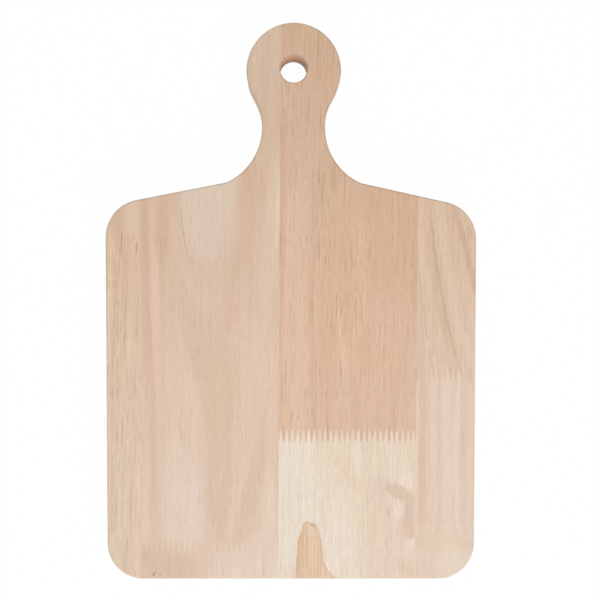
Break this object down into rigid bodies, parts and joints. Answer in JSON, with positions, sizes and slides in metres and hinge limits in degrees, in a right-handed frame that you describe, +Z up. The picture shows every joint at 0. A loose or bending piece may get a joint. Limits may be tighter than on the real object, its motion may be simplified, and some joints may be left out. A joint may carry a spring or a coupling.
{
  "type": "serving board",
  "caption": "Paddle-shaped wooden serving board of edge-glued, finger-jointed strips, with rounded corners and a round-headed handle bored for hanging.",
  "frame": {"origin": "on the underside, under the middle of the board's outline", "axes": "+Y along the board towards the handle, +X across it to the right as seen from above, +Z up out of the serving face"},
  "size_m": [0.254, 0.382, 0.015],
  "materials": {
    "outer_left_main": "tan rubberwood with dense dark pores, sanded and lightly oiled",
    "outer_left_top": "smooth warm tan rubberwood, sanded and lightly oiled",
    "inner_left_foot": "pale pinkish rubberwood, sanded and lightly oiled",
    "inner_left_main": "pinkish rubberwood with pale and brown bands, sanded and lightly oiled",
    "inner_right_foot": "cream rubberwood with a brown heartwood flame, sanded and lightly oiled",
    "inner_right_main": "tan-pink rubberwood with fine dark pores, sanded and lightly oiled",
    "outer_right_foot": "pale cream rubberwood, sanded and lightly oiled",
    "outer_right_middle": "pale pink-streaked rubberwood, sanded and lightly oiled",
    "outer_right_top": "cream-tan rubberwood with slanting growth lines, sanded and lightly oiled",
    "glue": "cured wood glue, translucent cream, sanded flush"
  },
  "bodies": {
    "root": {"outer_left_main": "outer_left_main", "outer_left_top": "outer_left_top", "inner_left_foot": "inner_left_foot", "inner_left_main": "inner_left_main", "inner_right_foot": "inner_right_foot", "inner_right_main": "inner_right_main", "outer_right_foot": "outer_right_foot", "outer_right_middle": "outer_right_middle", "outer_right_top": "outer_right_top", "outer_left_finger_glue": "glue", "inner_left_finger_glue": "glue", "inner_right_finger_glue": "glue", "outer_right_lower_finger_glue": "glue", "outer_right_upper_finger_glue": "glue", "left_glue_line": "glue", "middle_glue_line": "glue", "middle_glue_line_head": "glue", "right_glue_line": "glue"}
  },
  "joints": []
}
